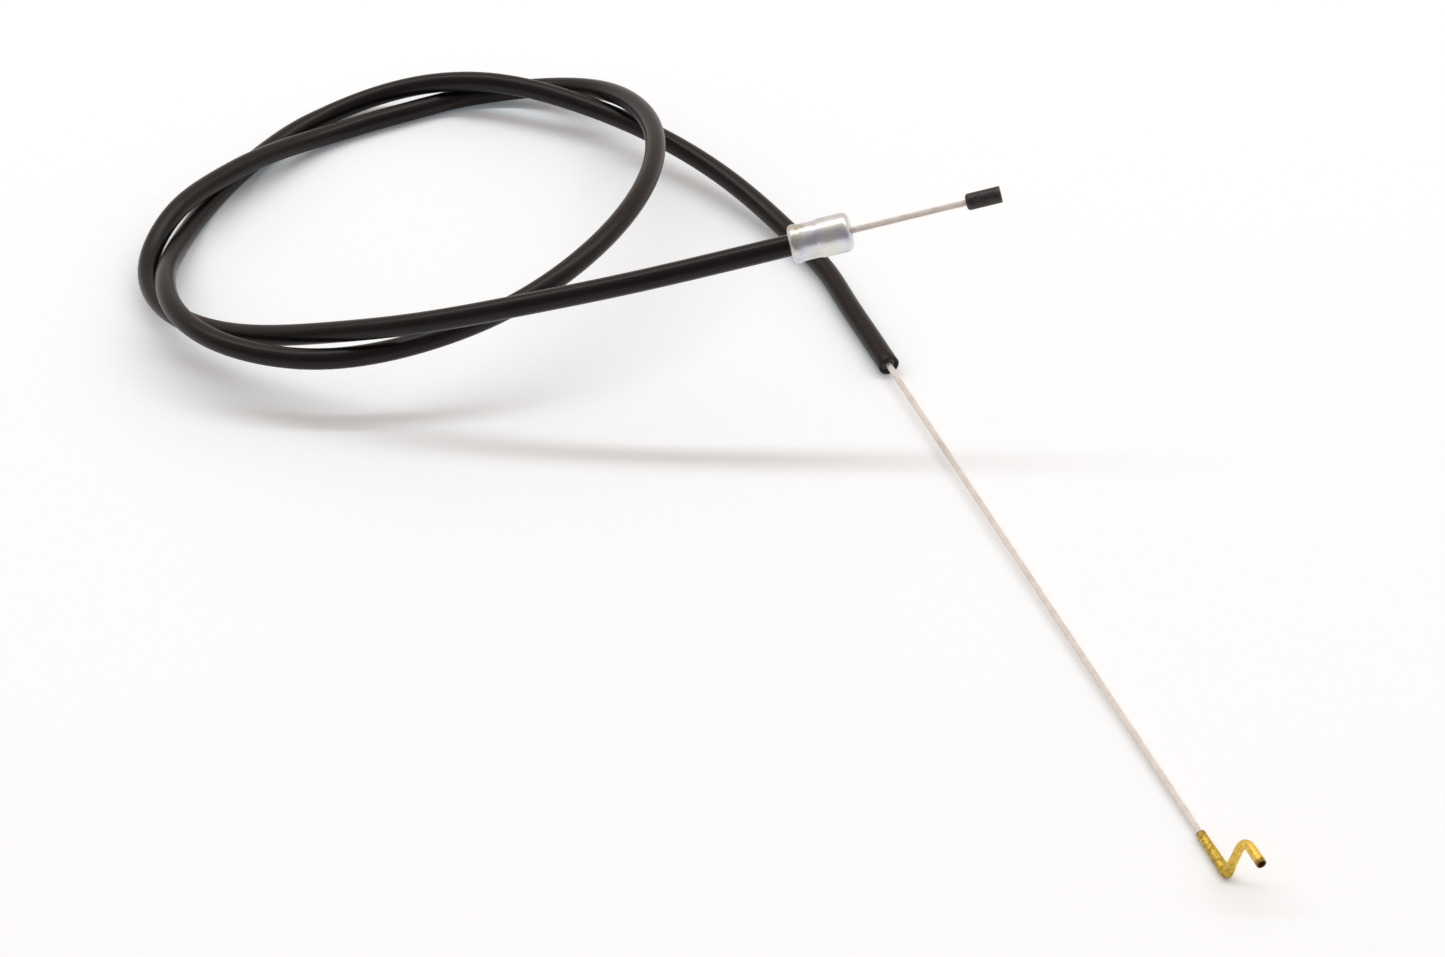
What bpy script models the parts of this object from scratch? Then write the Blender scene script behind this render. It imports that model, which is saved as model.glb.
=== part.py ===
"""Throttle cable: a black casing in two loose turns, with a sliding inner wire.

One end of the casing carries a pressed steel ferrule, and the wire leaves it to a barrel nipple.
The other end is cut square, and the wire leaves it to a brass tube bent into a Z-hook.
Metres, +Z up. The cable lies on the plane z = 0, with the middle of its footprint at the origin.
"""

import math

import bpy
import numpy as np
from mathutils import Vector

# Casing: a plastic sheath over a flat-wire winding, with a plastic liner inside
CASING_DIAMETER = 0.0050
SHEATH_WALL = 0.0009
WINDING_THICKNESS = 0.0003
LINER_WALL = 0.0002
LAYER_GAP = 0.0001
LAYER_RECESS = 0.0003

# Inner wire, one strand that is seen at both ends of the casing
WIRE_DIAMETER = 0.0015
HOOK_WIRE_EXPOSED = 0.1622
NIPPLE_WIRE_EXPOSED = 0.0263
SEAT_GAP = 0.0003
THROTTLE_STROKE = 0.0110
WIRE_ENGAGED = 0.0020
WIRE_END_GAP = 0.0010

# Ferrule on the casing's end, pressed in as a waist where it grips the casing
FERRULE_DIAMETER = 0.0089
FERRULE_LENGTH = 0.0140
FERRULE_SOCKET_DEPTH = 0.0095
FERRULE_BORE = 0.0036
FERRULE_NOSE_RADIUS = 0.0016
FERRULE_REAR_RADIUS = 0.0011
FERRULE_CRIMP_START = 0.0024
FERRULE_CRIMP_LENGTH = 0.0038
FERRULE_CRIMP_SLOPE = 0.0008
FERRULE_CRIMP_DEPTH = 0.00035
SOCKET_CLEARANCE = 0.0001

# Barrel nipple on the wire's end
NIPPLE_DIAMETER = 0.0038
NIPPLE_LENGTH = 0.0080
NIPPLE_WIRE_SIDE_RADIUS = 0.0008
NIPPLE_END_RADIUS = 0.00025
CRIMP_CLEARANCE = 0.0001

# Z-hook, a tube pressed on the wire's other end and bent twice
HOOK_TUBE_DIAMETER = 0.0022
HOOK_TUBE_WALL = 0.00025
HOOK_FIRST_LEG = 0.0118
HOOK_OFFSET = 0.0094
HOOK_LAST_LEG = 0.0074
HOOK_SHARP_BEND = 0.0015
HOOK_ROUND_BEND = 0.0026
HOOK_TILT = math.radians(72)
HOOK_WIRE_HELD = 0.0085

# Evenness of the solids
ROUTE_SPACING_DIAMETERS = 2.0
SPLINE_STEPS = 40
TURNED_STEPS = 32
ARC_STEPS = 5
BEND_STEPS = 6
TUBE_BEVEL_STEPS = 4
WIRE_BEVEL_STEPS = 2

# The casing's centreline from its open end to the end in the ferrule, chosen by hand
CASING_ROUTE = (
    (0.0562, 0.0255, 0.0025),
    (0.0512, 0.0386, 0.0026),
    (0.0466, 0.0507, 0.0027),
    (0.0424, 0.0620, 0.0028),
    (0.0352, 0.0743, 0.0035),
    (0.0205, 0.0941, 0.0056),
    (0.0009, 0.1128, 0.0076),
    (-0.0213, 0.1275, 0.0085),
    (-0.0430, 0.1357, 0.0088),
    (-0.0648, 0.1376, 0.0058),
    (-0.0847, 0.1298, 0.0026),
    (-0.1006, 0.1111, 0.0025),
    (-0.1114, 0.0892, 0.0026),
    (-0.1163, 0.0664, 0.0055),
    (-0.1162, 0.0500, 0.0099),
    (-0.1116, 0.0334, 0.0128),
    (-0.1013, 0.0209, 0.0140),
    (-0.0878, 0.0143, 0.0144),
    (-0.0770, 0.0123, 0.0148),
    (-0.0527, 0.0154, 0.0172),
    (-0.0318, 0.0243, 0.0210),
    (-0.0131, 0.0430, 0.0240),
    (-0.0014, 0.0697, 0.0240),
    (0.0000, 0.0956, 0.0208),
    (-0.0077, 0.1198, 0.0145),
    (-0.0219, 0.1364, 0.0068),
    (-0.0419, 0.1402, 0.0027),
    (-0.0634, 0.1320, 0.0025),
    (-0.0835, 0.1207, 0.0029),
    (-0.1020, 0.1016, 0.0072),
    (-0.1089, 0.0927, 0.0082),
    (-0.1173, 0.0791, 0.0086),
    (-0.1222, 0.0618, 0.0054),
    (-0.1168, 0.0448, 0.0058),
    (-0.0994, 0.0283, 0.0102),
    (-0.0745, 0.0170, 0.0188),
    (-0.0511, 0.0110, 0.0264),
    (-0.0279, 0.0093, 0.0328),
    (-0.0049, 0.0090, 0.0388),
    (0.0181, 0.0101, 0.0446),
    (0.0411, 0.0116, 0.0504),
)

CASING_RADIUS = CASING_DIAMETER / 2
WINDING_RADIUS = CASING_RADIUS - SHEATH_WALL - LAYER_GAP
LINER_RADIUS = WINDING_RADIUS - WINDING_THICKNESS - LAYER_GAP
WIRE_RADIUS = WIRE_DIAMETER / 2
CRIMP_RADIUS = WIRE_RADIUS + CRIMP_CLEARANCE
SOCKET_RADIUS = CASING_RADIUS + SOCKET_CLEARANCE
FERRULE_REACH = FERRULE_LENGTH - FERRULE_SOCKET_DEPTH + SEAT_GAP
NIPPLE_TRAVEL = NIPPLE_WIRE_EXPOSED - SEAT_GAP
NIPPLE_WIRE_INSIDE = THROTTLE_STROKE + WIRE_ENGAGED
HOOK_WIRE_INSIDE = NIPPLE_TRAVEL + WIRE_ENGAGED


def clear_scene():
    for thing in list(bpy.data.objects):
        bpy.data.objects.remove(thing, do_unlink=True)


def make_material(name, colour, metallic, roughness):
    material = bpy.data.materials.new(name)
    material.use_nodes = True
    shader = material.node_tree.nodes["Principled BSDF"]
    shader.inputs["Base Color"].default_value = (*colour, 1.0)
    shader.inputs["Metallic"].default_value = metallic
    shader.inputs["Roughness"].default_value = roughness
    material.diffuse_color = (*colour, 1.0)
    return material


def smooth_route(knots, spacing):
    """Evenly spaced points on the natural cubic spline through the knots."""
    knots = np.array(knots)
    spans = np.linalg.norm(np.diff(knots, axis=0), axis=1)
    slopes = np.diff(knots, axis=0) / spans[:, None]
    system = np.eye(len(knots))
    bends = np.zeros_like(knots)
    for i in range(1, len(knots) - 1):
        system[i, i - 1 : i + 2] = spans[i - 1], 2 * (spans[i - 1] + spans[i]), spans[i]
        bends[i] = 6 * (slopes[i] - slopes[i - 1])
    bends = np.linalg.solve(system, bends)

    fine = [knots[0]]
    for i, span in enumerate(spans):
        for after in np.linspace(0, span, SPLINE_STEPS)[1:]:
            before = span - after
            point = (bends[i] * before**3 + bends[i + 1] * after**3) / (6 * span)
            point += (knots[i] / span - bends[i] * span / 6) * before
            point += (knots[i + 1] / span - bends[i + 1] * span / 6) * after
            fine.append(point)
    fine = np.array(fine)
    steps = np.linalg.norm(np.diff(fine, axis=0), axis=1)
    travelled = np.concatenate(([0.0], np.cumsum(steps)))
    even = np.linspace(0, travelled[-1], round(travelled[-1] / spacing) + 1)
    return [Vector([np.interp(s, travelled, fine[:, axis]) for axis in range(3)]) for s in even]


def laid_on_table(points, radius):
    """The route with no point lower than the casing's own radius above the table."""
    return [Vector((p.x, p.y, max(p.z, radius))) for p in points]


def stretch(points, start_cut, end_cut):
    """The polyline without its first start_cut and its last end_cut, on the same chords."""

    def without_start(line, cut):
        line = list(line)
        while (line[1] - line[0]).length <= cut:
            cut -= (line[1] - line[0]).length
            line.pop(0)
        line[0] = line[0] + (line[1] - line[0]).normalized() * cut
        return line

    shorter = without_start(points, start_cut)
    return without_start(shorter[::-1], end_cut)[::-1]


def rounded_corner(before, corner, after, radius):
    """Points of the arc that rounds a corner between two straight runs."""
    to_before = (before - corner).normalized()
    to_after = (after - corner).normalized()
    half = to_before.angle(to_after) / 2
    centre = corner + (to_before + to_after).normalized() * (radius / math.sin(half))
    start = (corner + to_before * (radius / math.tan(half)) - centre).normalized()
    end = (corner + to_after * (radius / math.tan(half)) - centre).normalized()
    return [centre + start.slerp(end, step / BEND_STEPS) * radius for step in range(BEND_STEPS + 1)]


def arc(centre_radius, centre_distance, radius, start_degrees, end_degrees):
    """Profile points of a rounded edge, measured from the outward direction."""
    angles = np.radians(np.linspace(start_degrees, end_degrees, ARC_STEPS + 1))
    return [(centre_radius + radius * math.cos(a), centre_distance + radius * math.sin(a)) for a in angles]


def add_carrier(name, place, direction, collection):
    """An empty that carries pieces, with its own Z along the way that they slide."""
    carrier = bpy.data.objects.new(name, None)
    carrier.empty_display_size = CASING_DIAMETER
    carrier.location = place
    carrier.rotation_euler = direction.to_track_quat("Z", "Y").to_euler()
    collection.objects.link(carrier)
    return carrier


def add_piece(name, data, material, carrier):
    """An object that its carrier holds, placed in the cable's own frame."""
    data.materials.append(material)
    piece = bpy.data.objects.new(name, data)
    carrier.users_collection[0].objects.link(piece)
    piece.parent = carrier
    piece.matrix_parent_inverse = carrier.matrix_basis.inverted()
    return piece


def add_rod(name, points, radius, bevel_steps, material, carrier):
    """A round rod along the points, closed at both ends."""
    curve = bpy.data.curves.new(name, "CURVE")
    curve.dimensions = "3D"
    curve.bevel_depth = radius
    curve.bevel_resolution = bevel_steps
    curve.use_fill_caps = True
    spline = curve.splines.new("POLY")
    spline.points.add(len(points) - 1)
    for spline_point, point in zip(spline.points, points):
        spline_point.co = (*point, 1.0)
    return add_piece(name, curve, material, carrier)


def add_tube(name, points, radius, wall, bevel_steps, material, carrier):
    """A tube along the points, open at both ends, with its wall inside the radius."""
    tube = add_rod(name, points, radius, bevel_steps, material, carrier)
    tube.data.use_fill_caps = False
    shell = tube.modifiers.new("wall", "SOLIDIFY")
    shell.thickness = wall
    shell.offset = -1
    shell.use_even_offset = True
    return tube


def add_turned(name, profile, start, direction, material, carrier):
    """A closed profile of (radius, distance) turned about an axis from start along direction."""
    mesh = bpy.data.meshes.new(name)
    corners = [(radius, 0.0, distance) for radius, distance in profile]
    edges = [(i, (i + 1) % len(corners)) for i in range(len(corners))]
    mesh.from_pydata(corners, edges, [])
    turned = add_piece(name, mesh, material, carrier)
    turned.location = start
    turned.rotation_euler = direction.to_track_quat("Z", "Y").to_euler()
    spin = turned.modifiers.new("turn", "SCREW")
    spin.axis = "Z"
    spin.steps = TURNED_STEPS
    spin.render_steps = TURNED_STEPS
    spin.use_merge_vertices = True
    spin.merge_threshold = 1e-6
    return turned


def build_casing(route, carrier):
    """The sheath, and the winding and the liner a little short of its ends."""
    black_plastic = make_material("black_plastic", (0.026, 0.024, 0.022), 0.0, 0.38)
    winding_steel = make_material("winding_steel", (0.35, 0.35, 0.36), 1.0, 0.4)
    liner_plastic = make_material("liner_plastic", (0.05, 0.05, 0.05), 0.0, 0.5)
    layers = stretch(route, LAYER_RECESS, SEAT_GAP)
    steps = TUBE_BEVEL_STEPS
    add_tube("outer_sheath", route, CASING_RADIUS, SHEATH_WALL, steps, black_plastic, carrier)
    add_tube("steel_winding", layers, WINDING_RADIUS, WINDING_THICKNESS, steps, winding_steel, carrier)
    add_tube("liner", layers, LINER_RADIUS, LINER_WALL, WIRE_BEVEL_STEPS, liner_plastic, carrier)


def build_ferrule(mouth, axis, carrier):
    """A cup with a hole in its nose, pressed in around the casing's end."""
    zinc_plate = make_material("zinc_plate", (0.68, 0.70, 0.70), 1.0, 0.25)
    outer = FERRULE_DIAMETER / 2
    pressed = outer - FERRULE_CRIMP_DEPTH
    nose = FERRULE_NOSE_RADIUS
    rear = FERRULE_REAR_RADIUS
    crimp_end = FERRULE_CRIMP_START + FERRULE_CRIMP_LENGTH
    profile = [(FERRULE_BORE / 2, FERRULE_LENGTH)]
    profile += arc(outer - nose, FERRULE_LENGTH - nose, nose, 90, 0)
    profile.append((outer, crimp_end + FERRULE_CRIMP_SLOPE))
    profile.append((pressed, crimp_end))
    profile.append((pressed, FERRULE_CRIMP_START))
    profile.append((outer, FERRULE_CRIMP_START - FERRULE_CRIMP_SLOPE))
    profile += arc(outer - rear, rear, rear, 0, -90)
    profile.append((SOCKET_RADIUS, 0.0))
    profile.append((SOCKET_RADIUS, FERRULE_SOCKET_DEPTH))
    profile.append((FERRULE_BORE / 2, FERRULE_SOCKET_DEPTH))
    rear_place = mouth - axis * FERRULE_LENGTH
    add_turned("end_ferrule", profile, rear_place, axis, zinc_plate, carrier)


def build_nipple(start, axis, carrier):
    """A short barrel with a hole through it that grips the wire."""
    dark_nipple = make_material("dark_nipple", (0.06, 0.06, 0.06), 0.6, 0.4)
    outer = NIPPLE_DIAMETER / 2
    end = NIPPLE_END_RADIUS
    near = NIPPLE_WIRE_SIDE_RADIUS
    profile = [(CRIMP_RADIUS, NIPPLE_LENGTH)]
    profile += arc(outer - end, NIPPLE_LENGTH - end, end, 90, 0)
    profile += arc(outer - near, near, near, 0, -90)
    profile.append((CRIMP_RADIUS, 0.0))
    add_turned("nipple", profile, start, axis, dark_nipple, carrier)


def build_z_hook(start, along, carrier):
    """The bent tube, whose first and last legs are parallel to the wire."""
    yellow_brass = make_material("yellow_brass", (0.75, 0.52, 0.12), 1.0, 0.3)
    sideways = Vector((-along.y, along.x, 0.0)).normalized()
    upward = along.cross(sideways)
    across = sideways * math.cos(HOOK_TILT) + upward * math.sin(HOOK_TILT)
    corner = start + along * HOOK_FIRST_LEG
    bend = corner + across * HOOK_OFFSET
    tip = bend + along * HOOK_LAST_LEG
    points = [start]
    points += rounded_corner(start, corner, bend, HOOK_SHARP_BEND)
    points += rounded_corner(corner, bend, tip, HOOK_ROUND_BEND)
    points.append(tip)
    radius = HOOK_TUBE_DIAMETER / 2
    add_tube("z_hook", points, radius, HOOK_TUBE_WALL, TUBE_BEVEL_STEPS, yellow_brass, carrier)


def build_wire(name, points, carrier):
    """A plain round rod for a stretch of the stranded wire."""
    strand_steel = bpy.data.materials.get("strand_steel")
    if strand_steel is None:
        strand_steel = make_material("strand_steel", (0.62, 0.58, 0.53), 1.0, 0.35)
    add_rod(name, points, WIRE_RADIUS, WIRE_BEVEL_STEPS, strand_steel, carrier)


def hook_wire_direction(end, inside):
    """Along the casing's open end, falling just enough to lay the hook's corner on the table."""
    heading = (end - inside).to_2d().normalized()
    run = HOOK_WIRE_EXPOSED + HOOK_FIRST_LEG
    drop = end.z - HOOK_TUBE_DIAMETER / 2
    return Vector((heading.x * run, heading.y * run, -drop)).normalized()


def build():
    clear_scene()
    collection = bpy.data.collections.new("throttle_cable")
    bpy.context.scene.collection.children.link(collection)
    frame = add_carrier("throttle_cable_frame", Vector((0.0, 0.0, 0.0)), Vector((0.0, 0.0, 1.0)), collection)

    route = smooth_route(CASING_ROUTE, CASING_DIAMETER * ROUTE_SPACING_DIAMETERS)
    route = laid_on_table(route, CASING_RADIUS)
    build_casing(route, frame)

    # Ferrule and nipple on the axis of the casing's last straight stretch
    ferrule_axis = (route[-1] - route[-2]).normalized()
    mouth = route[-1] + ferrule_axis * FERRULE_REACH
    build_ferrule(mouth, ferrule_axis, frame)
    nipple_slide = add_carrier("nipple_slide", mouth, ferrule_axis, collection)
    nipple_start = mouth + ferrule_axis * NIPPLE_WIRE_EXPOSED
    build_nipple(nipple_start, ferrule_axis, nipple_slide)
    wire_start = mouth - ferrule_axis * NIPPLE_WIRE_INSIDE
    wire_end = nipple_start + ferrule_axis * (NIPPLE_LENGTH - SEAT_GAP)
    build_wire("nipple_end_wire", [wire_start, wire_end], nipple_slide)

    # Z-hook and its wire in line with the casing's open end
    hook_direction = hook_wire_direction(route[0], route[1])
    hook_slide = add_carrier("hook_slide", route[0], hook_direction, collection)
    hook_start = route[0] + hook_direction * HOOK_WIRE_EXPOSED
    build_z_hook(hook_start, hook_direction, hook_slide)
    wire_start = route[0] - hook_direction * HOOK_WIRE_INSIDE
    wire_end = hook_start + hook_direction * HOOK_WIRE_HELD
    build_wire("hook_end_wire", [wire_start, wire_end], hook_slide)

    # The wire's middle stretch, short of both ends by what they travel
    start_cut = HOOK_WIRE_INSIDE + THROTTLE_STROKE + WIRE_END_GAP
    end_cut = NIPPLE_WIRE_INSIDE + NIPPLE_TRAVEL + WIRE_END_GAP - FERRULE_REACH
    build_wire("inner_wire", stretch(route, start_cut, end_cut), frame)


build()
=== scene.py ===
"""Looks of the throttle cable: casing, stranded wire, ferrule, nipple and Z-hook.

Metres, +Z up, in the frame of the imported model. The cable lies on the plane z = 0.
"""

import math

import bpy
import numpy as np
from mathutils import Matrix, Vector


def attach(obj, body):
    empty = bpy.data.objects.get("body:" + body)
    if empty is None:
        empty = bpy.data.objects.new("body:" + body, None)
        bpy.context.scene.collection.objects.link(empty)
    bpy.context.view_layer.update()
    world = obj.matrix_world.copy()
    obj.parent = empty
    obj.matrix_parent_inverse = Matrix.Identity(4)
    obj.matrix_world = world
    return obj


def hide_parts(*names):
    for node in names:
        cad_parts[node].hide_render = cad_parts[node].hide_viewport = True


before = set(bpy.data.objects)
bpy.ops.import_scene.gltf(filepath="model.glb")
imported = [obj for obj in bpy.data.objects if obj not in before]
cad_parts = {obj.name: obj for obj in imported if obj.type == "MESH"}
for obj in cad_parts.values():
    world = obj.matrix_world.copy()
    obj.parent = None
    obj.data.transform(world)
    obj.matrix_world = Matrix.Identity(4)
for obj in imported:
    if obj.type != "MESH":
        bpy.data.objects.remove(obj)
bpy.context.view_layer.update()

# Casing
CASING_RADIUS = 0.0025
SHEATH_WALL = 0.0009
SHEATH_RIM = 0.00012

# Stranded wire: 12 outer wires round a core, drawn in a little at its end inside the casing
WIRE_RADIUS = 0.00075
OUTER_WIRES = 12
OUTER_WIRE_RADIUS = 0.00015
STRAND_LAY = 0.0130
STRAND_PINCH = 0.10
STRAND_PINCHED = 0.0060
HOOK_WIRE_EXPOSED = 0.1622
HOOK_WIRE_INSIDE = 0.0280
HOOK_WIRE_HELD = 0.0085
NIPPLE_WIRE_EXPOSED = 0.0263
NIPPLE_WIRE_INSIDE = 0.0130
SEAT_GAP = 0.0003

# Ferrule
FERRULE_RADIUS = 0.00445
FERRULE_LENGTH = 0.0140
FERRULE_SOCKET_DEPTH = 0.0095
FERRULE_SOCKET_RADIUS = 0.0026
FERRULE_BORE_RADIUS = 0.0018
FERRULE_NOSE = 0.0016
FERRULE_REAR = 0.0011
FERRULE_CRIMP_START = 0.0024
FERRULE_CRIMP_LENGTH = 0.0038
FERRULE_CRIMP_SLOPE = 0.0008
FERRULE_CRIMP_DEPTH = 0.00020
FERRULE_JAWS = 6
FERRULE_JAW_DEPTH = 0.00008
FERRULE_REACH = FERRULE_LENGTH - FERRULE_SOCKET_DEPTH + SEAT_GAP

# Nipple
NIPPLE_RADIUS = 0.0019
NIPPLE_LENGTH = 0.0080
NIPPLE_NEAR = 0.0008
NIPPLE_END = 0.00025
NIPPLE_BORE = 0.00085

# Z-hook
HOOK_RADIUS = 0.0011
HOOK_WALL = 0.00025
HOOK_RIM = 0.00006
HOOK_FIRST_LEG = 0.0118
HOOK_OFFSET = 0.0094
HOOK_LAST_LEG = 0.0074
HOOK_SHARP_BEND = 0.0013
HOOK_ROUND_BEND = 0.0026
HOOK_TILT = math.radians(72)
HOOK_CORNER_POINT = 0.00035
HOOK_CRIMP_FROM = 0.0012
HOOK_CRIMP_TO = 0.0078
HOOK_CRIMP_RIDGE = 0.0011
HOOK_CRIMP_DEPTH = 0.00007
HOOK_CORNER_SPAN = 0.0009
HOOK_LEG_STEPS = (48, 6, 8)

# How the tube was squeezed: distance from its mouth, width across the hook's plane, width in it,
# both as shares of the tube's own width
HOOK_WIDTHS = (
    (0.0000, 0.94, 0.94),
    (0.0035, 1.00, 0.98),
    (0.0085, 1.20, 0.92),
    (0.0112, 1.26, 1.08),
    (0.0135, 0.96, 0.90),
    (0.0165, 0.84, 0.84),
    (0.0200, 0.94, 0.90),
    (0.0250, 0.98, 0.98),
)

# The casing's centreline from its open end to the end in the ferrule
CASING_ROUTE = (
    (0.0562, 0.0255, 0.0025),
    (0.0512, 0.0386, 0.0026),
    (0.0466, 0.0507, 0.0027),
    (0.0424, 0.0620, 0.0028),
    (0.0352, 0.0743, 0.0035),
    (0.0205, 0.0941, 0.0056),
    (0.0009, 0.1128, 0.0076),
    (-0.0213, 0.1275, 0.0085),
    (-0.0430, 0.1357, 0.0088),
    (-0.0648, 0.1376, 0.0058),
    (-0.0847, 0.1298, 0.0026),
    (-0.1006, 0.1111, 0.0025),
    (-0.1114, 0.0892, 0.0026),
    (-0.1163, 0.0664, 0.0055),
    (-0.1162, 0.0500, 0.0099),
    (-0.1116, 0.0334, 0.0128),
    (-0.1013, 0.0209, 0.0140),
    (-0.0878, 0.0143, 0.0144),
    (-0.0770, 0.0123, 0.0148),
    (-0.0527, 0.0154, 0.0172),
    (-0.0318, 0.0243, 0.0210),
    (-0.0131, 0.0430, 0.0240),
    (-0.0014, 0.0697, 0.0240),
    (0.0000, 0.0956, 0.0208),
    (-0.0077, 0.1198, 0.0145),
    (-0.0219, 0.1364, 0.0068),
    (-0.0419, 0.1402, 0.0027),
    (-0.0634, 0.1320, 0.0025),
    (-0.0835, 0.1207, 0.0029),
    (-0.1020, 0.1016, 0.0072),
    (-0.1089, 0.0927, 0.0082),
    (-0.1173, 0.0791, 0.0086),
    (-0.1222, 0.0618, 0.0054),
    (-0.1168, 0.0448, 0.0058),
    (-0.0994, 0.0283, 0.0102),
    (-0.0745, 0.0170, 0.0188),
    (-0.0511, 0.0110, 0.0264),
    (-0.0279, 0.0093, 0.0328),
    (-0.0049, 0.0090, 0.0388),
    (0.0181, 0.0101, 0.0446),
    (0.0411, 0.0116, 0.0504),
)
ROUTE_STEP = 0.0100
FINE_STEPS = 4
SPLINE_STEPS = 40

# Edges sharper than these stay sharp in the shading
TUBE_EDGE = math.radians(50)
TURNED_EDGE = math.radians(35)
STRAND_EDGE = math.radians(60)

# Camera, from the photograph's view
VIEW_ELEVATION = math.radians(40)
VIEW_DISTANCE = 0.803
VIEW_AIM = Vector((0.017, -0.0128, 0.0))
VIEW_LENS = 88.0

# Floor
FLOOR_SIZE = 12
FLOOR_COLOUR = (0.90, 0.89, 0.87, 1.0)
FLOOR_SEEN = (1.0, 1.0, 1.0, 1.0)

# Light
ROOM = (0.875, 0.76, 0.685, 1.0)
ROOM_BEHIND_CAMERA = (0.30, 0.28, 0.29, 1.0)
STRIP_PLACE = (0.0, 0.76, 2.10)
STRIP_SIZE = (4.2, 0.22)
STRIP_POWER = 27.0
STRIP_COLOUR = (0.82, 0.94, 1.02)
FLOOR_GLOW = (0.083, 0.100, 0.108)
ROOM_DIM_BELOW = -0.45
ROOM_FULL_ABOVE = 0.15


def smooth_route(knots, spacing):
    """Evenly spaced points on the natural cubic spline through the knots."""
    knots = np.array(knots)
    spans = np.linalg.norm(np.diff(knots, axis=0), axis=1)
    slopes = np.diff(knots, axis=0) / spans[:, None]
    system = np.eye(len(knots))
    bends = np.zeros_like(knots)
    for i in range(1, len(knots) - 1):
        system[i, i - 1 : i + 2] = spans[i - 1], 2 * (spans[i - 1] + spans[i]), spans[i]
        bends[i] = 6 * (slopes[i] - slopes[i - 1])
    bends = np.linalg.solve(system, bends)

    fine = [knots[0]]
    for i, span in enumerate(spans):
        for after in np.linspace(0, span, SPLINE_STEPS)[1:]:
            before = span - after
            point = (bends[i] * before**3 + bends[i + 1] * after**3) / (6 * span)
            point += (knots[i] / span - bends[i] * span / 6) * before
            point += (knots[i + 1] / span - bends[i + 1] * span / 6) * after
            fine.append(point)
    fine = np.array(fine)
    steps = np.linalg.norm(np.diff(fine, axis=0), axis=1)
    travelled = np.concatenate(([0.0], np.cumsum(steps)))
    count = round(travelled[-1] / spacing) * FINE_STEPS
    even = np.linspace(0, travelled[-1], count + 1)
    route = [Vector([np.interp(s, travelled, fine[:, axis]) for axis in range(3)]) for s in even]
    return [Vector((p.x, p.y, max(p.z, CASING_RADIUS))) for p in route]


def deselect_all():
    bpy.ops.object.select_all(action="DESELECT")


def make_active(piece):
    deselect_all()
    piece.select_set(True)
    bpy.context.view_layer.objects.active = piece


def apply_modifiers(piece):
    make_active(piece)
    for modifier in list(piece.modifiers):
        bpy.ops.object.modifier_apply(modifier=modifier.name)


def settle(piece):
    """The piece's place goes into its mesh, and its object back to the origin."""
    make_active(piece)
    bpy.ops.object.transform_apply(location=True, rotation=True, scale=True)


def bent_round_bar(name, lines, radius, bevel_steps, closed_ends):
    """A mesh of round bars along one or more lines of points."""
    curve = bpy.data.curves.new(name, "CURVE")
    curve.dimensions = "3D"
    curve.bevel_depth = radius
    curve.bevel_resolution = bevel_steps
    curve.use_fill_caps = closed_ends
    for line in lines:
        spline = curve.splines.new("POLY")
        spline.points.add(len(line) - 1)
        for spline_point, point in zip(spline.points, line):
            spline_point.co = (*point, 1.0)
    bar = bpy.data.objects.new(name, curve)
    bpy.context.scene.collection.objects.link(bar)
    make_active(bar)
    bpy.ops.object.convert(target="MESH")
    bar = bpy.context.view_layer.objects.active
    bar.name = name
    bar.data.name = name
    bpy.ops.object.shade_smooth()
    return bar


def weld(piece):
    make_active(piece)
    bpy.ops.object.mode_set(mode="EDIT")
    bpy.ops.mesh.select_all(action="SELECT")
    bpy.ops.mesh.remove_doubles(threshold=1e-6)
    bpy.ops.mesh.normals_make_consistent(inside=False)
    bpy.ops.object.mode_set(mode="OBJECT")


def hollow_out(piece, wall, rim):
    """Gives an open tube its wall, inwards, and softens the rims at its two ends."""
    shell = piece.modifiers.new("wall", "SOLIDIFY")
    shell.thickness = wall
    shell.offset = -1
    shell.use_even_offset = True
    soften = piece.modifiers.new("rim", "BEVEL")
    soften.width = rim
    soften.segments = 3
    soften.limit_method = "ANGLE"
    soften.angle_limit = TUBE_EDGE
    soften.use_clamp_overlap = False
    apply_modifiers(piece)
    bpy.ops.object.shade_smooth_by_angle(angle=TUBE_EDGE)


def arc(centre_radius, centre_distance, radius, start_degrees, end_degrees, steps=8):
    angles = np.radians(np.linspace(start_degrees, end_degrees, steps + 1))
    return [(centre_radius + radius * math.cos(a), centre_distance + radius * math.sin(a)) for a in angles]


def turned(name, rings, sides=96):
    """A closed ring of (radius, distance) profile points, drawn out from one circle."""
    deselect_all()
    radius, distance = rings[0]
    bpy.ops.mesh.primitive_circle_add(
        vertices=sides, radius=radius, fill_type="NOTHING", location=(0, 0, distance)
    )
    piece = bpy.context.view_layer.objects.active
    piece.name = name
    piece.data.name = name
    settle(piece)
    bpy.ops.object.mode_set(mode="EDIT")
    bpy.ops.mesh.select_all(action="SELECT")
    for next_radius, next_distance in rings[1:]:
        bpy.ops.mesh.extrude_region_move(
            TRANSFORM_OT_translate={"value": (0, 0, next_distance - distance)}
        )
        share = next_radius / radius
        bpy.ops.transform.resize(value=(share, share, 1), center_override=(0, 0, next_distance))
        radius = next_radius
        distance = next_distance
    bpy.ops.mesh.select_all(action="DESELECT")
    bpy.ops.mesh.select_mode(type="EDGE")
    bpy.ops.mesh.select_non_manifold()
    bpy.ops.mesh.bridge_edge_loops()
    bpy.ops.mesh.select_all(action="SELECT")
    bpy.ops.mesh.remove_doubles(threshold=1e-7)
    bpy.ops.mesh.normals_make_consistent(inside=False)
    bpy.ops.object.mode_set(mode="OBJECT")
    bpy.ops.object.shade_smooth_by_angle(angle=TURNED_EDGE)
    return piece


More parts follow.
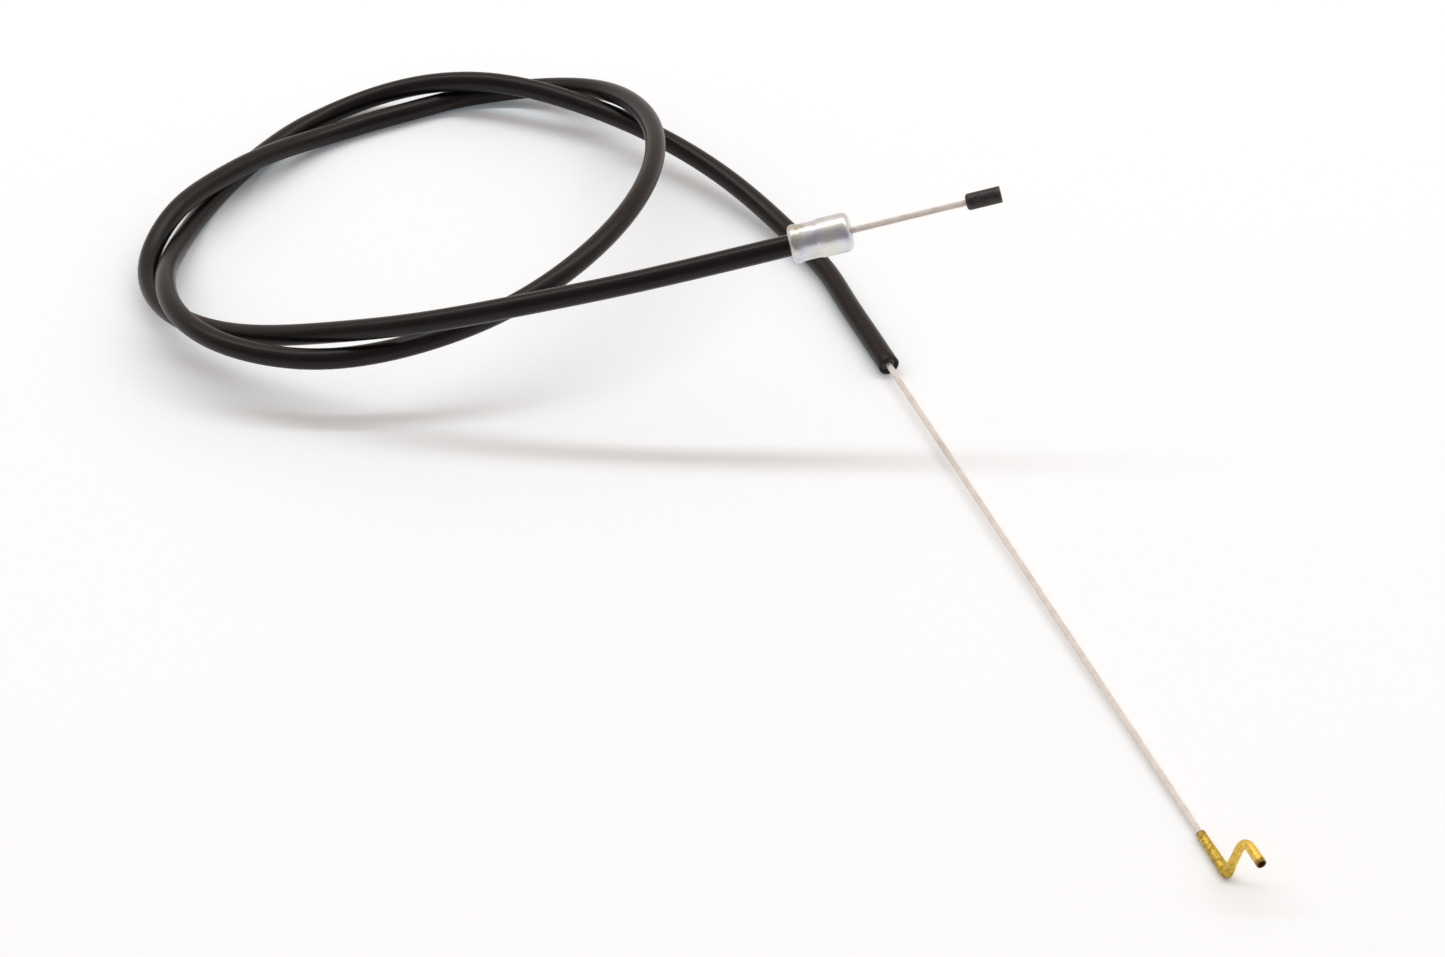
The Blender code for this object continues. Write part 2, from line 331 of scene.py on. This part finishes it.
def lay_along(piece, start, axis):
    piece.location = start
    piece.rotation_euler = axis.to_track_quat("Z", "Y").to_euler()
    settle(piece)


def move_points(piece, rule):
    """Moves each vertex as the rule says, a small shift worked out from its place."""
    for vertex in piece.data.vertices:
        vertex.co += rule(vertex.co)
    piece.data.update()


def note_measure(piece, name, measure):
    """Keeps a measure of each point under a name, for the piece's finish to read."""
    attribute = piece.data.attributes.new(name, "FLOAT", "POINT")
    attribute.data.foreach_set("value", [measure(v.co) for v in piece.data.vertices])


def nearest_on(line, place):
    """Distance along a line of points to the place nearest to the given one."""
    best = (math.inf, 0.0)
    travelled = 0.0
    for a, b in zip(line, line[1:]):
        step = b - a
        share = min(1.0, max(0.0, (place - a).dot(step) / step.length_squared))
        gap = (place - a - step * share).length
        best = min(best, (gap, travelled + step.length * share))
        travelled += step.length
    return best[1]


def rounded_corner(before, corner, after, radius, steps=14):
    to_before = (before - corner).normalized()
    to_after = (after - corner).normalized()
    half = to_before.angle(to_after) / 2
    centre = corner + (to_before + to_after).normalized() * (radius / math.sin(half))
    start = (corner + to_before * (radius / math.tan(half)) - centre).normalized()
    end = (corner + to_after * (radius / math.tan(half)) - centre).normalized()
    return [centre + start.slerp(end, step / steps) * radius for step in range(steps + 1)]


class Finish:
    """A Principled material and the few nodes that its pattern needs."""

    def __init__(self, name, colour, metallic, roughness):
        self.material = bpy.data.materials.new(name)
        self.material.use_nodes = True
        self.tree = self.material.node_tree
        self.shader = self.tree.nodes["Principled BSDF"]
        self.shader.inputs["Base Color"].default_value = (*colour, 1.0)
        self.shader.inputs["Metallic"].default_value = metallic
        self.shader.inputs["Roughness"].default_value = roughness
        self.material.diffuse_color = (*colour, 1.0)
        place = self.tree.nodes.new("ShaderNodeTexCoord")
        self.place = place.outputs["Object"]
        self.uv = place.outputs["UV"]

    def link(self, output, socket):
        self.tree.links.new(output, socket)

    def stretched(self, vector, scale):
        mapping = self.tree.nodes.new("ShaderNodeMapping")
        mapping.inputs["Scale"].default_value = scale
        self.link(vector, mapping.inputs["Vector"])
        return mapping.outputs["Vector"]

    def turned_to(self, start, axis):
        """Object coordinates seen from a piece's own start, with Z along its axis."""
        mapping = self.tree.nodes.new("ShaderNodeMapping")
        mapping.vector_type = "TEXTURE"
        mapping.inputs["Location"].default_value = start
        mapping.inputs["Rotation"].default_value = axis.to_track_quat("Z", "Y").to_euler()
        self.link(self.place, mapping.inputs["Vector"])
        return mapping.outputs["Vector"]

    def noise(self, vector, scale, detail=3.0, roughness=0.5):
        noise = self.tree.nodes.new("ShaderNodeTexNoise")
        noise.inputs["Scale"].default_value = scale
        noise.inputs["Detail"].default_value = detail
        noise.inputs["Roughness"].default_value = roughness
        self.link(vector, noise.inputs["Vector"])
        return noise.outputs["Fac"]

    def attribute(self, name):
        attribute = self.tree.nodes.new("ShaderNodeAttribute")
        attribute.attribute_name = name
        return attribute.outputs["Fac"]

    def ramp(self, value, stops):
        """Colours at shares of the value, each stop a (share, colour)."""
        ramp = self.tree.nodes.new("ShaderNodeValToRGB")
        points = ramp.color_ramp.elements
        while len(points) < len(stops):
            points.new(1.0)
        for point, (share, colour) in zip(points, stops):
            point.position = share
            point.color = (*colour, 1.0)
        self.link(value, ramp.inputs["Fac"])
        return ramp.outputs["Color"]

    def spread(self, value, low, high, to_low, to_high):
        spread = self.tree.nodes.new("ShaderNodeMapRange")
        spread.inputs["From Min"].default_value = low
        spread.inputs["From Max"].default_value = high
        spread.inputs["To Min"].default_value = to_low
        spread.inputs["To Max"].default_value = to_high
        self.link(value, spread.inputs["Value"])
        return spread.outputs["Result"]

    def distance_along(self, own):
        """The distance from the piece's start, out of coordinates turned to it."""
        parts = self.tree.nodes.new("ShaderNodeSeparateXYZ")
        self.link(own, parts.inputs["Vector"])
        return parts.outputs["Z"]

    def product(self, first, second):
        product = self.tree.nodes.new("ShaderNodeMath")
        product.operation = "MULTIPLY"
        self.link(first, product.inputs[0])
        self.link(second, product.inputs[1])
        return product.outputs["Value"]

    def mixed(self, share, first, second):
        mix = self.tree.nodes.new("ShaderNodeMix")
        mix.data_type = "RGBA"
        self.link(share, mix.inputs["Factor"])
        self.link(first, mix.inputs["A"])
        self.link(second, mix.inputs["B"])
        return mix.outputs["Result"]

    def relief(self, height, depth, under=None):
        bump = self.tree.nodes.new("ShaderNodeBump")
        bump.inputs["Distance"].default_value = depth
        self.link(height, bump.inputs["Height"])
        if under is not None:
            self.link(under, bump.inputs["Normal"])
        return bump.outputs["Normal"]

    def colour(self, output):
        self.link(output, self.shader.inputs["Base Color"])

    def roughness(self, output):
        self.link(output, self.shader.inputs["Roughness"])

    def normal(self, output):
        self.link(output, self.shader.inputs["Normal"])


def satin_black():
    """Extruded black plastic: soft sheen, faint lines along it and a fine grain."""
    finish = Finish("satin_black", (0.007, 0.0055, 0.0050), 0.0, 0.33)
    finish.shader.inputs["Specular IOR Level"].default_value = 0.26
    finish.shader.inputs["Specular Tint"].default_value = (1.0, 0.94, 0.90, 1.0)
    clouds = finish.noise(finish.place, 45.0, 4.0)
    finish.colour(finish.ramp(clouds, ((0.35, (0.0055, 0.0042, 0.0038)), (0.65, (0.0090, 0.0070, 0.0062)))))
    grain = finish.noise(finish.place, 2600.0, 2.0)
    finish.roughness(finish.spread(clouds, 0.3, 0.7, 0.28, 0.36))
    lines = finish.noise(finish.stretched(finish.uv, (14.0, 60.0, 1.0)), 1.0, 2.0)
    fine = finish.relief(grain, 0.000012)
    finish.normal(finish.relief(lines, 0.00002, fine))
    return finish.material


def bare_steel(name, colour):
    finish = Finish(name, colour, 1.0, 0.35)
    stains = finish.noise(finish.place, 700.0, 3.0)
    darker = tuple(0.72 * c for c in colour)
    finish.colour(finish.ramp(stains, ((0.35, darker), (0.6, colour))))
    finish.roughness(finish.spread(stains, 0.3, 0.7, 0.26, 0.42))
    return finish.material


def bright_strand():
    """Drawn steel wires, pale on their outsides and dark brown between them, that dark being painted shade
    in the hollows between the wires together with brown oil.
    """
    finish = Finish("bright_strand", (0.90, 0.82, 0.76), 0.15, 0.42)
    # Painted shade: each wire turns dark brown towards the hollows between the wires, where shade falls,
    # along with the brown oil there.
    groove_shade = finish.spread(finish.attribute("from_axis"), 0.00052, 0.00072, 0.0, 1.0)
    wires = finish.ramp(
        groove_shade,
        (
            (0.0, (0.42, 0.29, 0.22)),
            (0.5, (0.82, 0.71, 0.62)),
            (1.0, (0.97, 0.91, 0.85)),
        ),
    )
    stains = finish.noise(finish.place, 420.0, 3.0)
    share = finish.spread(stains, 0.45, 0.75, 0.0, 0.5)
    oil = finish.ramp(stains, ((0.4, (0.55, 0.45, 0.38)), (0.7, (0.72, 0.62, 0.54))))
    finish.colour(finish.mixed(share, wires, oil))
    finish.roughness(finish.spread(stains, 0.3, 0.7, 0.5, 0.36))
    return finish.material


def zinc_plate(start, axis):
    """Bright zinc with a blue and green bloom, stained where it was pressed."""
    finish = Finish("zinc_plate", (0.71, 0.72, 0.74), 1.0, 0.32)
    own = finish.turned_to(start, axis)
    bloom = finish.noise(own, 200.0, 2.0)
    body = finish.ramp(
        bloom,
        (
            (0.32, (0.61, 0.62, 0.71)),
            (0.50, (0.73, 0.74, 0.74)),
            (0.66, (0.75, 0.75, 0.66)),
        ),
    )
    haze = finish.noise(own, 900.0, 3.0)
    stain = finish.ramp(haze, ((0.35, (0.36, 0.33, 0.25)), (0.65, (0.62, 0.60, 0.52))))
    near_rear = finish.spread(finish.distance_along(own), 0.0072, 0.0030, 0.0, 0.75)
    patches = finish.spread(bloom, 0.42, 0.62, 0.0, 1.0)
    finish.colour(finish.mixed(finish.product(near_rear, patches), body, stain))
    finish.roughness(finish.spread(haze, 0.3, 0.7, 0.31, 0.38))
    finish.normal(finish.relief(haze, 0.000002))
    return finish.material


def dark_cast(start, axis):
    """Dark cast metal, rubbed paler at its outer end."""
    finish = Finish("dark_cast", (0.045, 0.038, 0.040), 0.6, 0.45)
    own = finish.turned_to(start, axis)
    grain = finish.noise(own, 1500.0, 4.0)
    body = finish.ramp(grain, ((0.35, (0.028, 0.023, 0.025)), (0.68, (0.070, 0.058, 0.052))))
    rubbed = finish.ramp(grain, ((0.35, (0.12, 0.09, 0.07)), (0.65, (0.26, 0.21, 0.17))))
    share = finish.spread(finish.distance_along(own), NIPPLE_LENGTH * 0.94, NIPPLE_LENGTH, 0.0, 0.7)
    finish.colour(finish.mixed(share, body, rubbed))
    finish.roughness(finish.spread(grain, 0.3, 0.7, 0.38, 0.54))
    finish.normal(finish.relief(grain, 0.00002))
    return finish.material


def yellow_brass():
    """Yellow brass, mottled by handling and dark brown at its two cut ends."""
    finish = Finish("yellow_brass", (0.70, 0.47, 0.06), 0.85, 0.36)
    mottle = finish.noise(finish.place, 1100.0, 4.0, 0.6)
    olive = finish.ramp(
        mottle,
        (
            (0.32, (0.28, 0.17, 0.03)),
            (0.50, (0.54, 0.37, 0.05)),
            (0.68, (0.72, 0.54, 0.10)),
        ),
    )
    orange = finish.ramp(mottle, ((0.35, (0.66, 0.42, 0.05)), (0.65, (0.92, 0.66, 0.16))))
    tarnish = finish.ramp(mottle, ((0.3, (0.08, 0.045, 0.02)), (0.7, (0.24, 0.14, 0.04))))
    along = finish.attribute("along")
    body = finish.mixed(finish.spread(along, 0.0115, 0.0150, 0.0, 1.0), olive, orange)
    body = finish.mixed(finish.spread(along, 0.0014, 0.0, 0.0, 0.8), body, tarnish)
    body = finish.mixed(finish.spread(along, 0.0255, 0.0265, 0.0, 0.8), body, tarnish)
    finish.colour(body)
    finish.roughness(finish.spread(mottle, 0.3, 0.7, 0.52, 0.4))
    scratches = finish.noise(finish.stretched(finish.place, (900.0, 2600.0, 900.0)), 1.0, 2.0)
    finish.normal(finish.relief(scratches, 0.00001, finish.relief(mottle, 0.00002)))
    return finish.material


def black_liner():
    finish = Finish("black_liner", (0.012, 0.011, 0.010), 0.0, 0.4)
    grain = finish.noise(finish.place, 2000.0, 2.0)
    finish.roughness(finish.spread(grain, 0.3, 0.7, 0.35, 0.5))
    return finish.material


def give(piece, material):
    piece.data.materials.clear()
    piece.data.materials.append(material)


def make_sheath(route):
    """The casing's black tube, cut square at its open end."""
    sheath = bent_round_bar("casing_sheath", [route], CASING_RADIUS, 14, closed_ends=False)
    weld(sheath)
    hollow_out(sheath, SHEATH_WALL, SHEATH_RIM)
    give(sheath, satin_black())
    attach(sheath, "casing")
    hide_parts("outer_sheath")
    return sheath


def strand_lines(start, axis, length):
    """The outer wires of a strand, each a helix about the strand's axis."""
    sideways = axis.orthogonal().normalized()
    upward = axis.cross(sideways)
    lay_radius = WIRE_RADIUS - OUTER_WIRE_RADIUS
    steps = math.ceil(length / (STRAND_LAY / 16))
    lines = []
    for wire in range(OUTER_WIRES):
        line = []
        for step in range(steps + 1):
            distance = length * step / steps
            turn = 2 * math.pi * (distance / STRAND_LAY + wire / OUTER_WIRES)
            outwards = sideways * math.cos(turn) + upward * math.sin(turn)
            line.append(start + axis * distance + outwards * lay_radius)
        lines.append(line)
    return lines


def make_strand(name, start, axis, length, body, node, material):
    """Twelve twisted wires round a core, which fills the strand between them.

    The inner end is drawn in, to stay clear of the liner where the casing begins to bend.
    """
    strand = bent_round_bar(name, strand_lines(start, axis, length), OUTER_WIRE_RADIUS, 2, closed_ends=True)
    core_radius = WIRE_RADIUS - 2 * OUTER_WIRE_RADIUS
    core = bent_round_bar(name + "_core", [[start, start + axis * length]], core_radius, 6, closed_ends=True)
    make_active(strand)
    core.select_set(True)
    bpy.ops.object.join()
    weld(strand)
    bpy.ops.object.shade_smooth_by_angle(angle=STRAND_EDGE)

    def pinch_inner_end(place):
        distance = (place - start).dot(axis)
        share = max(0.0, 1 - distance / STRAND_PINCHED)
        return (start + axis * distance - place) * (STRAND_PINCH * share)

    move_points(strand, pinch_inner_end)
    note_measure(strand, "from_axis", lambda place: (place - start).cross(axis).length)
    give(strand, material)
    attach(strand, body)
    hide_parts(node)
    return strand


def make_ferrule(mouth, axis):
    """A pressed cup with a rounded nose, gripped on the casing by a ring of jaws."""
    outer = FERRULE_RADIUS
    dip = FERRULE_CRIMP_DEPTH
    slope = FERRULE_CRIMP_SLOPE
    crimp_end = FERRULE_CRIMP_START + FERRULE_CRIMP_LENGTH
    nose = FERRULE_NOSE
    rear = FERRULE_REAR
    rings = [(FERRULE_BORE_RADIUS + 0.0001, FERRULE_LENGTH)]
    rings += arc(outer - nose, FERRULE_LENGTH - nose, nose, 90, 0)
    straight = np.linspace(FERRULE_LENGTH - nose, crimp_end + slope, 8)
    rings += [(outer, distance) for distance in straight[1:]]
    rings += [(outer - dip * share, crimp_end + slope * (1 - share)) for share in (0.25, 0.75)]
    straight = np.linspace(crimp_end, FERRULE_CRIMP_START, 10)
    rings += [(outer - dip, distance) for distance in straight]
    rings += [(outer - dip * share, FERRULE_CRIMP_START - slope * (1 - share)) for share in (0.75, 0.25)]
    rings.append((outer, FERRULE_CRIMP_START - slope))
    rings += arc(outer - rear, rear, rear, 0, -90)
    rings.append((FERRULE_SOCKET_RADIUS, 0.0))
    rings.append((FERRULE_SOCKET_RADIUS, FERRULE_SOCKET_DEPTH))
    rings.append((FERRULE_BORE_RADIUS, FERRULE_SOCKET_DEPTH))
    rings.append((FERRULE_BORE_RADIUS, FERRULE_LENGTH - 0.0001))
    ferrule = turned("ferrule_cup", rings)

    def jaw_marks(place):
        radius = math.hypot(place.x, place.y)
        if radius < FERRULE_SOCKET_RADIUS + 0.0002:
            return Vector((0, 0, 0))
        middle = FERRULE_CRIMP_START + FERRULE_CRIMP_LENGTH / 2
        window = math.exp(-((place.z - middle) / (FERRULE_CRIMP_LENGTH * 0.4)) ** 4)
        angle = math.atan2(place.y, place.x)
        press = 0.5 + 0.5 * math.cos(FERRULE_JAWS * angle)
        inward = -FERRULE_JAW_DEPTH * window * press / radius
        return Vector((place.x * inward, place.y * inward, 0))

    move_points(ferrule, jaw_marks)
    rear_place = mouth - axis * FERRULE_LENGTH
    lay_along(ferrule, rear_place, axis)
    give(ferrule, zinc_plate(rear_place, axis))
    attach(ferrule, "casing")
    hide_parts("end_ferrule")
    return ferrule


def make_nipple(start, axis):
    """A short barrel, rounded where the wire enters and nearly square at its outer end."""
    outer = NIPPLE_RADIUS
    rings = [(NIPPLE_BORE, NIPPLE_LENGTH)]
    rings += arc(outer - NIPPLE_END, NIPPLE_LENGTH - NIPPLE_END, NIPPLE_END, 90, 0)
    straight = np.linspace(NIPPLE_LENGTH - NIPPLE_END, NIPPLE_NEAR, 8)
    rings += [(outer, distance) for distance in straight[1:-1]]
    rings += arc(outer - NIPPLE_NEAR, NIPPLE_NEAR, NIPPLE_NEAR, 0, -90)
    rings.append((NIPPLE_BORE, 0.0))
    nipple = turned("barrel_nipple", rings, sides=64)
    lay_along(nipple, start, axis)
    give(nipple, dark_cast(start, axis))
    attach(nipple, "nipple_end")
    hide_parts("nipple")
    return nipple


def hook_line(start, along):
    """The hook's centreline, its corner, the way that the corner points, and the plane's normal."""
    sideways = Vector((-along.y, along.x, 0.0)).normalized()
    upward = along.cross(sideways)
    across = sideways * math.cos(HOOK_TILT) + upward * math.sin(HOOK_TILT)
    corner = start + along * HOOK_FIRST_LEG
    bend = corner + across * HOOK_OFFSET
    tip = bend + along * HOOK_LAST_LEG
    first_bend = rounded_corner(start, corner, bend, HOOK_SHARP_BEND)
    second_bend = rounded_corner(corner, bend, tip, HOOK_ROUND_BEND)

    def straight(a, b, steps):
        return [a.lerp(b, step / steps) for step in range(1, steps)]

    line = [start]
    line += straight(start, first_bend[0], HOOK_LEG_STEPS[0])
    line += first_bend
    line += straight(first_bend[-1], second_bend[0], HOOK_LEG_STEPS[1])
    line += second_bend
    line += straight(second_bend[-1], tip, HOOK_LEG_STEPS[2])
    line.append(tip)
    corner_way = (along - across).normalized()
    return line, first_bend[len(first_bend) // 2], corner_way, along.cross(across).normalized()


def make_hook(start, along):
    """A brass tube, pressed on the wire, with its two bends a little flattened."""
    line, corner, corner_way, plane_normal = hook_line(start, along)
    hook = bent_round_bar("z_hook_tube", [line], HOOK_RADIUS, 10, closed_ends=False)
    weld(hook)
    hollow_out(hook, HOOK_WALL, HOOK_RIM)
    distances = np.cumsum([0.0] + [(b - a).length for a, b in zip(line, line[1:])])
    corner_distance = nearest_on(line, corner)
    width_places, across_plane, in_plane = zip(*HOOK_WIDTHS)

    def centre(distance):
        return Vector([np.interp(distance, distances, [p[axis] for p in line]) for axis in range(3)])

    def pressed(place):
        distance = nearest_on(line, place)
        outwards = place - centre(distance)
        sideways = plane_normal * outwards.dot(plane_normal)
        shift = sideways * (np.interp(distance, width_places, across_plane) - 1)
        shift += (outwards - sideways) * (np.interp(distance, width_places, in_plane) - 1)
        window = math.exp(-((distance - corner_distance) / HOOK_CORNER_SPAN) ** 2)
        outside = max(0.0, outwards.dot(corner_way) / HOOK_RADIUS)
        shift += corner_way * (HOOK_CORNER_POINT * window * outside**2)
        if HOOK_CRIMP_FROM < distance < HOOK_CRIMP_TO and outwards.length > HOOK_RADIUS - HOOK_WALL / 2:
            ridge = 0.5 - 0.5 * math.cos(2 * math.pi * (distance - HOOK_CRIMP_FROM) / HOOK_CRIMP_RIDGE)
            side = abs(outwards.normalized().dot(plane_normal)) ** 2
            shift -= outwards.normalized() * (HOOK_CRIMP_DEPTH * ridge * side)
        shift.z = max(shift.z, -place.z)
        return shift

    move_points(hook, pressed)
    note_measure(hook, "along", lambda place: nearest_on(line, place))
    give(hook, yellow_brass())
    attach(hook, "hook_end")
    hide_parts("z_hook")
    return hook


def make_floor():
    """A white table that keeps the shadows, a little whiter and brighter to the camera."""
    bpy.ops.mesh.primitive_plane_add(size=1, location=(0, 0, 0))
    floor = bpy.context.view_layer.objects.active
    floor.name = "floor"
    floor.scale = (FLOOR_SIZE, FLOOR_SIZE, 1)
    settle(floor)
    material = bpy.data.materials.new("pale_table")
    material.use_nodes = True
    tree = material.node_tree
    shader = tree.nodes["Principled BSDF"]
    shader.inputs["Roughness"].default_value = 0.9
    shader.inputs["Specular IOR Level"].default_value = 0.1
    rays = tree.nodes.new("ShaderNodeLightPath")
    seen = tree.nodes.new("ShaderNodeMath")
    seen.operation = "MAXIMUM"
    tree.links.new(rays.outputs["Is Camera Ray"], seen.inputs[0])
    tree.links.new(rays.outputs["Is Glossy Ray"], seen.inputs[1])
    seen_through = tree.nodes.new("ShaderNodeMath")
    seen_through.operation = "MAXIMUM"
    tree.links.new(seen.outputs["Value"], seen_through.inputs[0])
    tree.links.new(rays.outputs["Is Transmission Ray"], seen_through.inputs[1])
    whiter = tree.nodes.new("ShaderNodeMix")
    whiter.data_type = "RGBA"
    whiter.inputs["A"].default_value = FLOOR_COLOUR
    whiter.inputs["B"].default_value = FLOOR_SEEN
    tree.links.new(seen_through.outputs["Value"], whiter.inputs["Factor"])
    tree.links.new(whiter.outputs["Result"], shader.inputs["Base Color"])
    shader.inputs["Emission Color"].default_value = (*FLOOR_GLOW, 1.0)
    tree.links.new(seen_through.outputs["Value"], shader.inputs["Emission Strength"])
    floor.data.materials.append(material)


def add_softbox(name, location, aim, size, power, colour):
    lamp = bpy.data.lights.new(name, "AREA")
    lamp.shape = "RECTANGLE"
    lamp.size, lamp.size_y = size
    lamp.energy = power
    lamp.color = colour
    box = bpy.data.objects.new(name, lamp)
    bpy.context.scene.collection.objects.link(box)
    box.location = location
    box.rotation_euler = (Vector(location) - Vector(aim)).to_track_quat("Z", "Y").to_euler()


def light_studio():
    """A long soft strip light behind the cable, in a warm room that is dim behind the camera."""
    world = bpy.data.worlds.new("studio")
    world.use_nodes = True
    tree = world.node_tree
    place = tree.nodes.new("ShaderNodeTexCoord")
    parts = tree.nodes.new("ShaderNodeSeparateXYZ")
    tree.links.new(place.outputs["Generated"], parts.inputs["Vector"])
    towards_back = tree.nodes.new("ShaderNodeMapRange")
    towards_back.inputs["From Min"].default_value = ROOM_DIM_BELOW
    towards_back.inputs["From Max"].default_value = ROOM_FULL_ABOVE
    tree.links.new(parts.outputs["Y"], towards_back.inputs["Value"])
    room = tree.nodes.new("ShaderNodeMix")
    room.data_type = "RGBA"
    room.inputs["A"].default_value = ROOM_BEHIND_CAMERA
    room.inputs["B"].default_value = ROOM
    tree.links.new(towards_back.outputs["Result"], room.inputs["Factor"])
    background = tree.nodes["Background"]
    tree.links.new(room.outputs["Result"], background.inputs["Color"])
    background.inputs["Strength"].default_value = 1.0
    bpy.context.scene.world = world
    add_softbox("strip_light", STRIP_PLACE, (0, 0, 0), STRIP_SIZE, STRIP_POWER, STRIP_COLOUR)


def place_camera():
    """The photograph's view: 40 degrees above the table, looking along +Y."""
    camera = bpy.data.cameras.new("photo_view")
    camera.sensor_fit = "HORIZONTAL"
    camera.sensor_width = 36.0
    camera.lens = VIEW_LENS
    camera.clip_start = 0.01
    viewer = bpy.data.objects.new("photo_view", camera)
    bpy.context.scene.collection.objects.link(viewer)
    back = VIEW_DISTANCE * math.cos(VIEW_ELEVATION)
    up = VIEW_DISTANCE * math.sin(VIEW_ELEVATION)
    viewer.location = VIEW_AIM + Vector((0, -back, up))
    viewer.rotation_euler = (math.pi / 2 - VIEW_ELEVATION, 0, 0)
    bpy.context.scene.camera = viewer


place_camera()
route = smooth_route(CASING_ROUTE, ROUTE_STEP)
make_sheath(route)

ferrule_axis = (route[-1] - route[-1 - FINE_STEPS]).normalized()
mouth = route[-1] + ferrule_axis * FERRULE_REACH
make_ferrule(mouth, ferrule_axis)
strand_finish = bright_strand()
nipple_start = mouth + ferrule_axis * NIPPLE_WIRE_EXPOSED
nipple = make_nipple(nipple_start, ferrule_axis)
wire_start = mouth - ferrule_axis * NIPPLE_WIRE_INSIDE
wire_length = NIPPLE_WIRE_INSIDE + NIPPLE_WIRE_EXPOSED + NIPPLE_LENGTH - SEAT_GAP
nipple_strand = make_strand(
    "nipple_strand", wire_start, ferrule_axis, wire_length, "nipple_end", "nipple_end_wire", strand_finish
)

heading = (route[0] - route[FINE_STEPS]).to_2d().normalized()
run = HOOK_WIRE_EXPOSED + HOOK_FIRST_LEG
drop = route[0].z - HOOK_RADIUS
hook_direction = Vector((heading.x * run, heading.y * run, -drop)).normalized()
hook_start = route[0] + hook_direction * HOOK_WIRE_EXPOSED
hook = make_hook(hook_start, hook_direction)
wire_start = route[0] - hook_direction * HOOK_WIRE_INSIDE
wire_length = HOOK_WIRE_INSIDE + HOOK_WIRE_EXPOSED + HOOK_WIRE_HELD
hook_strand = make_strand(
    "hook_strand", wire_start, hook_direction, wire_length, "hook_end", "hook_end_wire", strand_finish
)

give(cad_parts["steel_winding"], bare_steel("winding_steel", (0.13, 0.12, 0.115)))
give(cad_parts["liner"], black_liner())
give(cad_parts["inner_wire"], strand_finish)

make_floor()
light_studio()
bpy.context.scene.view_settings.view_transform = "Standard"
